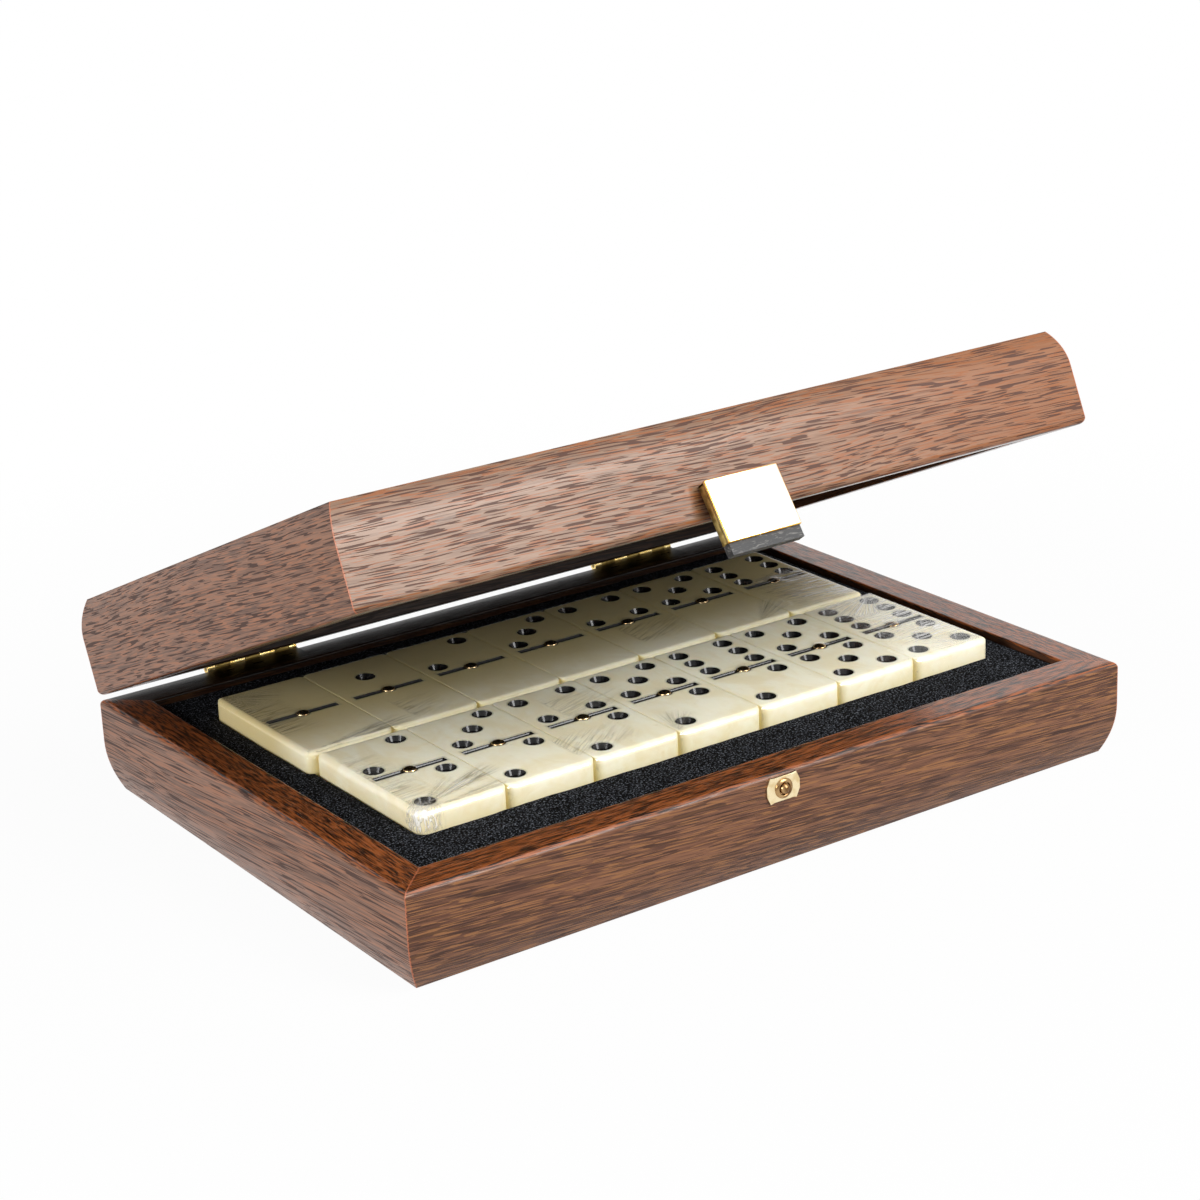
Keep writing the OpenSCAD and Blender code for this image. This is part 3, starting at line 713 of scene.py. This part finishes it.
def make_tile(back_pips, front_pips, finishes):
    """One tile, with its painted hollows, in place of its node."""
    node = f"domino_{back_pips}_{front_pips}"
    low, high = (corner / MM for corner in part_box(node))
    middle = (low + high) / 2
    mesh = bmesh.new()
    # hollow_shade marks the painted shade round the hollows, seam the painted light in the seams
    hollow_shade, seam = (mesh.verts.layers.float.new(name) for name in ("hollow_shade", "seam"))

    outline = rounded_outline(rectangle(TILE_W, TILE_L), TILE_CORNER_R)
    open_side = int(middle.x / ((ROW_HALF - 0.1) * PITCH_X))  # 1 or -1 for the last tiles of a row
    row = 1 if middle.y > 0 else -1
    soft = [(point, outward, *edge_softness(outward, open_side, row)) for point, outward in outline]

    def edge_ring(turn, side):
        """Points round the rounded top edge, or for side -1 the bottom edge, turned down from flat."""
        points = []
        for point, outward, radius, closing in soft:
            full, drop = math.sin(turn), 1 - math.cos(turn)
            spot = point + outward * (closing * SEAM_FILL * full - radius * (1 - full))
            points.append(mesh.verts.new((*spot, (TILE_T if side > 0 else 0) - side * radius * drop)))
            # how far the edge drops into a seam, where ivory paints the seam's light
            points[-1][seam] = closing * drop
        return points

    loops = [[p - o * r for p, o, r, _ in soft], [p - o * (r + TILE_LAND) for p, o, r, _ in soft]]
    loops += [groove_points(0), groove_points(GROOVE_SHADE_REACH)]
    pips = [(x * PIP_DX, HALF_Y + y * PIP_DY) for x, y in pip_places(back_pips)]
    pips += [(x * PIP_DX, -HALF_Y + y * PIP_DY) for x, y in pip_places(front_pips)]
    for x, y in pips:
        loops += [round_points(x, y, PIP_R + grow, PIP_STEPS) for grow in (LIP, PIP_SHADE_REACH)]
    holes = range(2, len(loops), 2)  # the groove and then each pip, with the loop where its painted shade ends after it
    flat, faces, spans = flat_sheet(loops, holes)
    face_verts = ring(mesh, flat, TILE_T)
    fill(mesh, face_verts, faces)
    groove_mouth, *pip_mouths = ([face_verts[i] for i in spans[hole]] for hole in holes)
    for v in sum(pip_mouths, groove_mouth):
        v[hollow_shade] = 1.0

    turns = quarter_turns(EDGE_STEPS)
    rings = [[face_verts[i] for i in spans[0]]] + [edge_ring(turn, 1) for turn in turns]
    rings += [edge_ring(turn, -1) for turn in reversed(turns)] + [edge_ring(0, -1)]
    stack_rings(mesh, rings)
    mesh.faces.new(rings[-1])

    for mouth, (x, y) in zip(pip_mouths, pips):
        lip = ring(mesh, round_points(x, y, PIP_R, PIP_STEPS), TILE_T - LIP)
        foot = ring(mesh, round_points(x, y, PIP_R * PIP_FOOT, PIP_STEPS), TILE_T - PIP_DEPTH)
        stack_rings(mesh, [mouth, lip])
        stack_rings(mesh, [lip, foot], material=1)
        mesh.faces.new(foot).material_index = 1

    walls = [ring(mesh, groove_points(-grow), TILE_T - depth) for grow, depth in GROOVE_STEPS]
    stack_rings(mesh, [groove_mouth, walls[0]])
    stack_rings(mesh, walls, material=1)
    mesh.faces.new(walls[-1]).material_index = 1

    place = Matrix.Translation((middle.x, middle.y, low.z))
    finish_piece(f"tile_{back_pips}_{front_pips}", mesh, finishes, "domino_set", [node], place, crisp=14)


def make_spinners(material):
    """Domed brass heads on shanks in the middle of the top tiles, standing a little proud of them."""
    mesh = bmesh.new()
    shank_r, shank_z, low_z, rise = 0.8, -5.7, -0.1, 0.8
    profile = [(0, shank_z), (shank_r, shank_z), (shank_r, -GROOVE_DEPTH), (SPINNER_R, -GROOVE_DEPTH)]
    slopes = [math.radians(slope) for slope in range(0, 81, 9)]
    profile += [(SPINNER_R * math.cos(slope), low_z + rise * math.sin(slope)) for slope in slopes]
    profile.append((0, low_z + rise))
    for row in (-1, 1):
        for column in range(-ROW_HALF, ROW_HALF + 1):
            count = len(mesh.verts)
            turned(mesh, profile)
            spot = (column * PITCH_X - row * ROW_SHIFT, row * ROW_Y, TOP_LAYER_Z)
            bmesh.ops.translate(mesh, verts=list(mesh.verts)[count:], vec=spot)
    finish_piece("spinner_heads", mesh, [material], "domino_set", ["spinners_top_layer"], crisp=40)


# ---- foam ----

FOAM_CLEAR = 0.02  # keeps the faces of the foam off the faces that they lie on


def make_foam_tray(material):
    """Cut foam round the tiles, with soft edges and a slightly uneven top."""
    outer_play, play, spacing, jitter, margin, end_margin = 0.5, 0.25, 2, 0.4, 2.6, 1.8
    outer_soft, inner_soft, dip = 1.3, 0.7, 0.15
    low_z, skin_z = BOTTOM_T + FOAM_FLOOR_T + FOAM_CLEAR, FOAM_TOP - dip
    outer = rounded_outline(rectangle(INNER_W - outer_play, INNER_D - outer_play), 1.0, steps=3)
    cut_out = rounded_outline(stepped_block(BLOCK_HALF_W + play, BLOCK_HALF_D + play), TILE_CORNER_R, steps=5)
    mesh = bmesh.new()

    def finely(outline, depth):
        """The outline moved in by depth, with points about a spacing apart."""
        moved = inset(outline, depth)
        points = []
        for a, b in zip(moved, moved[1:] + moved[:1]):
            count = max(1, round((b - a).length / spacing))
            points += [a.lerp(b, i / count) for i in range(count)]
        return points

    def uneven(p):
        """How far the top swells at a point, with finer lumps on the slow ones."""
        slow = noise.noise(Vector((p[0] * 0.06, p[1] * 0.06, 0.3))) * 0.22
        return slow + noise.noise(Vector((p[0] * 0.5, p[1] * 0.5, 4))) * 0.07

    rng = random.Random(4)
    columns, rows = round(INNER_W / 2 / spacing), round(INNER_D / 2 / spacing)
    spread = []
    for column in range(-columns, columns + 1):
        for row in range(-rows, rows + 1):
            x = column * spacing + rng.uniform(-jitter, jitter)
            y = row * spacing + rng.uniform(-jitter, jitter)
            if abs(x) < INNER_W / 2 - margin and abs(y) < INNER_D / 2 - margin:
                if abs(x) > BLOCK_HALF_W + play + margin or abs(y) > TILE_L + end_margin:
                    spread.append((x, y))
    flat, faces, spans = flat_sheet([finely(outer, outer_soft), finely(cut_out, -inner_soft)], [1], spread)
    verts = [mesh.verts.new((p.x, p.y, skin_z + uneven(p))) for p in flat]
    fill(mesh, verts, faces)
    for outline, span, soft, sign in ((outer, spans[0], outer_soft, 1), (cut_out, spans[1], inner_soft, -1)):
        rings = [[verts[i] for i in span]]
        count = len(rings[0])
        for depth, drop in edge_profile(soft, 4):
            points = finely(outline, sign * depth)
            if len(points) != count:
                points = [points[round(i * len(points) / count) % len(points)] for i in range(count)]
            rings.append([mesh.verts.new((p.x, p.y, skin_z + uneven(p) - drop)) for p in points])
        rings.append([mesh.verts.new((v.co.x, v.co.y, low_z)) for v in rings[-1]])
        stack_rings(mesh, rings)
    piece = finish_piece("foam_tray", mesh, [material], "case", ["foam_frame"])


def make_foam_sheet(name, material, body, node, low_z, thickness, place=None):
    """A thin sheet of foam with soft edges and slightly uneven faces."""
    play, soft, spacing = 0.3, 0.4, 6
    mesh = bmesh.new()
    outline = rounded_outline(rectangle(INNER_W - play, INNER_D - play), 1.2, steps=3)
    grid = [(x * spacing, y * spacing) for x in range(-17, 18) for y in range(-11, 12)]
    flat, faces, spans = flat_sheet([inset(outline, soft)], extra=grid)
    edges = []
    for z, side in ((low_z + thickness - FOAM_CLEAR, 1), (low_z + FOAM_CLEAR, -1)):
        dips = [side * -0.06 * (1 + noise.noise(Vector((p.x * 0.05, p.y * 0.05, z)))) for p in flat]
        verts = [mesh.verts.new((p.x, p.y, z + dip)) for p, dip in zip(flat, dips)]
        fill(mesh, verts, faces)
        edges.append([verts[i] for i in spans[0]])
    upper = ring(mesh, inset(outline, 0), low_z + thickness - soft)
    lower = ring(mesh, inset(outline, 0), low_z + soft)
    stack_rings(mesh, [edges[0], upper, lower, edges[1]])
    piece = finish_piece(name, mesh, [material], body, [node], place)


# ---- shrink film ----

FILM_STEP = 0.8  # spacing of the film's points
FILM_SLACK = 0.12  # how far the film stands off the sides of the tiles
FILM_EDGE_R = END_EDGE_R + 0.1
COMB_FADE, FAN_FADE = 4, 6  # how far in from its sides a comb, or a fan in degrees, comes to its full strength

# combs of creases square to an edge: ((x from, x to), (y from, y to), direction that they run in, strength)
COMBS = (
    ((-98.5, -84), (14, 53), (1, 0.12), 0.5),
    ((-96.5, -84), (-52, -8), (1, 0.08), 0.3),
    ((72, 97), (1, 34), (-1, 0.05), 0.95),
    ((74, 99), (-46, -1), (-1, -0.05), 0.85),
    ((-62, -48), (2, 20), (1, 0.3), 0.25),
    ((20, 44), (8, 26), (1, 0.5), 0.3),
    ((-44, -20), (-50, -34), (0.8, 0.6), 0.35),
    ((-30, -4), (-26, -8), (1, 0.35), 0.25),
)
# fans of creases from a point: (x, y, direction and half spread in degrees, reach, strength)
FANS = (
    (-94.0, -50.5, 20, 9, 32, 1.0),
    (-95.0, -51.0, 36, 6, 22, 0.8),
    (-90.0, -53.0, 8, 8, 24, 0.7),
    (-97.0, -53.5, 45, 52, 10, 1.0),
    (-97.5, 0.5, 8, 9, 36, 0.7),
    (-98.5, 53.0, -40, 30, 20, 0.4),
    (97.0, -1.5, -150, 40, 26, 0.7),
    (98.5, -53.0, 150, 40, 22, 0.4),
    (56.9, 1.0, 35, 20, 22, 0.35),
    (-13.0, -53.0, 60, 24, 16, 0.4),
)


def film_crease(x, y):
    """Stripe coordinate, place along the stripe and strength of the creases at a point of the film."""
    best = (0.0, 0.0, 0.0)
    for (x0, x1), (y0, y1), (dx, dy), strength in COMBS:
        if x0 < x < x1 and y0 < y < y1:
            start = x0 if dx > 0 else x1
            along = abs(x - start) / abs(x1 - x0)
            sides = min(y - y0, y1 - y) / COMB_FADE
            power = strength * (1 - along) ** 0.7 * min(1, sides)
            if power > best[2]:
                best = (y - (x - start) * dy / dx, abs(x - start), power)
    for fx, fy, heading, half, reach, strength in FANS:
        offset = Vector((x - fx, y - fy))
        if 0.01 < offset.length < reach:
            turn = (math.degrees(math.atan2(offset.y, offset.x)) - heading + 180) % 360 - 180
            if abs(turn) < half:
                fade = 1 - offset.length / reach
                power = strength * min(1, fade * 2.5) * min(1, (half - abs(turn)) / FAN_FADE)
                if power > best[2]:
                    best = (turn * 0.7 + 40, offset.length * 0.6, power)
    return best


def from_seam(x, y):
    """How far a point lies from the nearest seam line of its row."""
    gap = (x - row_middle(y)) / PITCH_X + 0.5
    return abs(gap - round(gap)) * PITCH_X


def film_height(x, y):
    """Height of the film over the tiles: it sags into the gaps, and lifts over the spinners and in long soft waves."""
    height = TOP_LAYER_Z + 0.1 + 0.05 * noise.noise(Vector((x * 0.08, y * 0.08, 2)))
    side = from_seam(x, y)
    if abs(x) < ROW_HALF * PITCH_X:
        height -= 0.06 * math.exp(-((side / 0.5) ** 2))
    height -= 0.6 * math.exp(-((y / 1.3) ** 2))  # between the rows
    height += 0.7 * math.exp(-((PITCH_X / 2 - side) ** 2 + (abs(y) - ROW_Y) ** 2) / 5)  # over a spinner
    stripe, reach, strength = film_crease(x, y)
    if strength > 0:
        height += 0.22 * strength * noise.noise(Vector((stripe * 0.8, reach * 0.05, 5)))
    return height


def make_film(material):
    """Clear film drawn over the top layer of tiles and down its sides."""
    corners = stepped_block(BLOCK_HALF_W + FILM_SLACK, BLOCK_HALF_D + FILM_SLACK)
    outline = rounded_outline(corners, TILE_CORNER_R + 0.1)
    mesh = bmesh.new()
    crease = mesh.verts.layers.float_vector.new("crease")

    fine = []
    for (a, out_a), (b, out_b) in zip(outline, outline[1:] + outline[:1]):
        count = max(1, round((b - a).length / FILM_STEP))
        fine += [(a.lerp(b, i / count), out_a.lerp(out_b, i / count).normalized()) for i in range(count)]
    columns, rows = int(BLOCK_HALF_W / FILM_STEP) + 2, int(TILE_L / FILM_STEP) + 1
    spread = []
    for column in range(-columns, columns + 1):
        for row in range(-rows, rows + 1):
            x, y = column * FILM_STEP, row * FILM_STEP
            if abs(x - row_middle(y)) < BLOCK_HALF_W - FILM_EDGE_R - 0.5 and abs(y) < TILE_L - FILM_EDGE_R - 0.4:
                spread.append((x, y))
    flat, faces, spans = flat_sheet([inset(fine, FILM_EDGE_R)], extra=spread)
    verts = []
    for p in flat:
        v = mesh.verts.new((p.x, p.y, film_height(p.x, p.y)))
        v[crease] = Vector(film_crease(p.x, p.y))
        verts.append(v)
    fill(mesh, verts, faces)
    rings = [[verts[i] for i in spans[0]]]
    front_left = Vector((-95.5, -53))

    def skirt(depth, drop, crumple):
        """Points round the block, moved in and down, that are drawn into the seams and creased there."""
        made = []
        for index, ((point, outward), upper) in enumerate(zip(fine, rings[0])):
            spot = point - outward * depth
            seam = 0.0
            if abs(outward.y) > 0.7 and abs(spot.x) < ROW_HALF * PITCH_X:
                seam = math.exp(-((from_seam(*spot) / 0.9) ** 2))
            near_corner = max(0.0, 1 - (spot - front_left).length / 7)
            pulled = spot - outward * seam * 0.5 * min(1, drop)
            v = mesh.verts.new((pulled.x, pulled.y, upper.co.z - drop))
            v[crease] = Vector((index * FILM_STEP, drop * 3, crumple * (seam * 0.15 + near_corner * 1.3)))
            made.append(v)
        return made

    rings += [skirt(depth, drop, 1.0) for depth, drop in edge_profile(FILM_EDGE_R, 6)]
    rings += [skirt(0, drop, crumple) for drop, crumple in ((3.2, 1.0), (4.6, 1.0), (6.3, 0.2))]
    stack_rings(mesh, rings)
    finish_piece("shrink_film", mesh, [material], "domino_set")


# ---- latch and keeper ----


def make_latch(gold, edge_glint_gold, side_sheen_gold, olive):
    """The latch's face plate, with painted highlight in orange gold on its bevels and painted reflection, yellower, on
    its sides, and the channel behind it.
    """
    plate = bmesh.new()
    slab(plate, (-PLATE_W / 2, CHANNEL_FRONT - PLATE_T, -PLATE_H), (PLATE_W / 2, CHANNEL_FRONT, 0), 0.3, 3)
    plate.normal_update()
    for face in plate.faces:
        faces_side, faces_front, _ = (abs(share) > 0.999 for share in face.normal)
        # front faces in the plain gold, bevels in a painted highlight and sides in a painted reflection
        face.material_index = 0 if faces_front else 2 if faces_side else 1
    golds = [gold, edge_glint_gold, side_sheen_gold]
    finish_piece("latch_face", plate, golds, "latch", ["latch_plate"], latch_place(), crisp=50)

    channel = bmesh.new()
    setback, wall, web, round_web, round_wall = 0.2, 0.7, 0.4, 0.08, 0.12
    half, head, foot = PLATE_W / 2 - setback, -setback, setback - PLATE_H
    slab(channel, (-half, CHANNEL_FRONT, foot), (half, CHANNEL_FRONT + web, head), round_web, 2)
    for low_x, high_x in ((-half, wall - half), (half - wall, half)):
        slab(channel, (low_x, CHANNEL_FRONT, foot), (high_x, CHANNEL_BACK, head), round_wall, 2)
    slab(channel, (-half, CHANNEL_FRONT, head - wall), (half, CHANNEL_BACK, head), round_wall, 2)
    finish_piece("latch_back", channel, [olive], "latch", ["latch_channel"], latch_place(), crisp=50)


def make_keeper(gold, shaded_gold):
    """Eared plate with a raised ring and a button stud in a darker gold, painted shade and dark reflection, on the
    front of the lower shell.
    """
    width, height, thick, edge = 11.0, 7.6, 0.6, 0.12
    shoulder, ear, dip = width / 2 * 0.79, 1.1, 0.25
    quarter = [(width / 2, 1.3), (shoulder, height / 2), (shoulder - ear, height / 2 - dip)]
    outline = quarter + [(-x, y) for x, y in reversed(quarter)]
    outline += [(-x, -y) for x, y in outline]
    mesh = bmesh.new()
    shrunk = [(x * (1 - 2 * edge / width), y * (1 - 2 * edge / height)) for x, y in outline]
    rings = [ring(mesh, outline, 0.0), ring(mesh, outline, thick - edge), ring(mesh, shrunk, thick)]
    stack_rings(mesh, rings)
    mesh.faces.new(rings[0])
    mesh.faces.new(rings[-1])
    raised = [(2.9, thick - 0.1), (2.86, 0.8), (2.6, 1.05), (2.3, 1.24), (2.1, 1.28)]
    hollow = [(1.9, 1.2), (1.75, 1.0), (1.68, 0.62), (1.0, 0.61)]
    # the ring in the darker gold: painted shade and dark reflection
    turned(mesh, raised + hollow, material=1)
    finish_piece("keeper", mesh, [gold, shaded_gold], "case", ["keeper_plate"], keeper_place(), crisp=40)
    stud = bmesh.new()
    shank = [(0, -6), (0.8, -5.6), (1.0, -5.2), (1.0, 0.75)]
    button = [(1.3, 0.72), (1.5, 0.85), (1.5, 1.15), (1.36, 1.5), (1.1, 1.85), (0.75, 2.12), (0.38, 2.24), (0, 2.28)]
    turned(stud, shank + button)
    finish_piece("keeper_button", stud, [shaded_gold], "case", ["keeper_stud"], keeper_place(), crisp=40)


# ---- putting it together ----


def dress(finish, *nodes):
    """Gives CAD nodes that keep their own shape a better finish."""
    for node in nodes:
        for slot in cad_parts[node].material_slots:
            slot.material = finish


FLOOR_REACH, FLOOR_Z = 6, -0.0004  # metres


def lay_floor(material):
    """A wide floor just under the box."""
    mesh = bmesh.new()
    bmesh.ops.create_grid(mesh, x_segments=2, y_segments=2, size=FLOOR_REACH)
    data = bpy.data.meshes.new("floor")
    mesh.to_mesh(data)
    mesh.free()
    data.materials.append(material)
    floor = bpy.data.objects.new("floor", data)
    floor.location.z = FLOOR_Z
    bpy.context.scene.collection.objects.link(floor)


set_camera()
add_softbox("key", (0.376, -0.739, 0.559), distance=1.5, width=0.66, height=0.66, power=17)
add_softbox("high_fill", (0.24, -0.52, 0.82), distance=1.6, width=1.0, height=1.0, power=16)
add_softbox("side_fill", (-0.93, -0.15, 0.28), distance=1.6, width=0.9, height=0.5, power=20)
light_world(level=0.22)

brown = dict(
    ground=(paint(131, 90, 66), paint(94, 61, 42)),
    glow=paint(140, 89, 58),
    pore=(paint(50, 24, 12), paint(56, 31, 19)),
    lines=0.6,
    dash=(9, 0.42, 0.9),
)
front = dict(
    ground=(paint(118, 78, 54), paint(80, 48, 33)),
    glow=paint(134, 90, 54),
    pore=(paint(46, 22, 11), paint(48, 25, 15)),
    lines=0.7,
    dash=(11, 0.41, 0.75),
)
# a lighter, greyer walnut for the lid's front, with the sheen that its upturned face catches painted in
sheen_pale = dict(
    ground=(paint(134, 104, 82), paint(114, 85, 65)),
    glow=paint(134, 80, 44),
    pore=(paint(60, 27, 10), paint(58, 30, 14)),
    lines=0.45,
    dash=(9.5, 0.41, 0.95),
)
base_left = dict(brown, dash=(22, 0.4, 1.0))
lid_left = dict(brown, dash=(8, 0.38, 1.0))
walnuts = {
    "base_front_rail": walnut("walnut_base_front", "x", 3.1, **front, slant=0.064),
    # shade paints this rail darker, as painted shade from the lid above it
    "base_back_rail": walnut("walnut_base_back", "x", 9.4, **front, shade=0.3),
    "base_left_rail": walnut("walnut_base_left", "y", 5.7, **base_left, slant=0.09),
    "base_right_rail": walnut("walnut_base_right", "y", 14.2, **brown, slant=-0.08),
    "base_bottom_panel": walnut("walnut_bottom", "x", 21.0, **brown, rim=False),
    # the lid's front: painted sheen, strongest on its left and fading to the right by sheen_fade
    "lid_front_rail": walnut("walnut_lid_front", "x", 7.9, **sheen_pale, on_lid=True, slant=0.03, sheen_fade=0.6),
    # shade paints this rail darker, as painted shade inside the open lid
    "lid_back_rail": walnut("walnut_lid_back", "x", 11.6, **front, on_lid=True, shade=0.5),
    "lid_left_rail": walnut("walnut_lid_left", "y", 17.3, **lid_left, on_lid=True, slant=-0.03, rows=0.15),
    "lid_right_rail": walnut("walnut_lid_right", "y", 1.5, **brown, on_lid=True, slant=0.1),
    "lid_top_panel": walnut("walnut_top", "x", 25.8, **brown, on_lid=True, rim=False),
}
for node, finish in walnuts.items():
    dress(finish, node)

bright = brass("brass_bright", paint(255, 230, 160), paint(236, 198, 112), 0.16, on_lid=True)
# the base leaves are painted near black in front of the knuckles, as painted shade under the lid
dull = brass("brass_dull", paint(150, 128, 74), paint(104, 86, 46), 0.3, shaded=HINGE.y - 1.5)
dress(bright, "left_hinge_lid_leaf", "right_hinge_lid_leaf", "hinge_screws_lid", "latch_screws")
dress(dull, "left_hinge_base_leaf", "right_hinge_base_leaf", "left_hinge_pin", "right_hinge_pin", "hinge_screws_base")
spinner_brass = brass("spinner_brass", paint(222, 194, 148), paint(156, 122, 82), 0.16)
dress(spinner_brass, "spinners_bottom_layer")
make_spinners(spinner_brass)
dress(rubber("tab_rubber"), "latch_tab", "latch_root")

tile_finishes = [ivory("ivory"), pip_paint("pip_black")]
for name in sorted(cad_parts):
    if name.startswith("domino_"):
        back_end, front_end = (int(part) for part in name.split("_")[1:])
        make_tile(back_end, front_end, tile_finishes)

make_foam_tray(foam("foam_black"))
make_foam_sheet("foam_bed", foam("foam_bed_black"), "case", "foam_floor", BOTTOM_T, FOAM_FLOOR_T)
lining, lining_z = foam("lining_black", on_lid=True, glint=0.5), SHUT_H - TOP_T - LINING_T
make_foam_sheet("lid_pad", lining, "lid", "lid_lining", lining_z, LINING_T, lid_place())
make_film(film("clear_film"))
make_latch(
    brass("latch_gold", paint(255, 251, 238), paint(253, 246, 224), 0.22, marks=0.3, on_lid=True),
    # painted highlight on the bevels, then painted reflection on the sides
    brass("latch_edge_glint", paint(255, 200, 100), paint(240, 164, 72), 0.25, on_lid=True),
    brass("latch_side_sheen", paint(252, 240, 190), paint(242, 222, 156), 0.25, on_lid=True),
    brass("latch_olive", paint(216, 190, 122), paint(140, 116, 62), 0.3, marks=1.0, on_lid=True),
)
make_keeper(
    brass("keeper_gold", paint(248, 230, 188), paint(228, 202, 150), 0.22),
    # painted shade and dark reflection for the ring and the stud
    brass("keeper_shaded", paint(186, 152, 106), paint(118, 86, 54), 0.18),
)

lay_floor(backdrop("paper", shade=0.04, reach=420))

bpy.context.scene.view_settings.view_transform = "Standard"
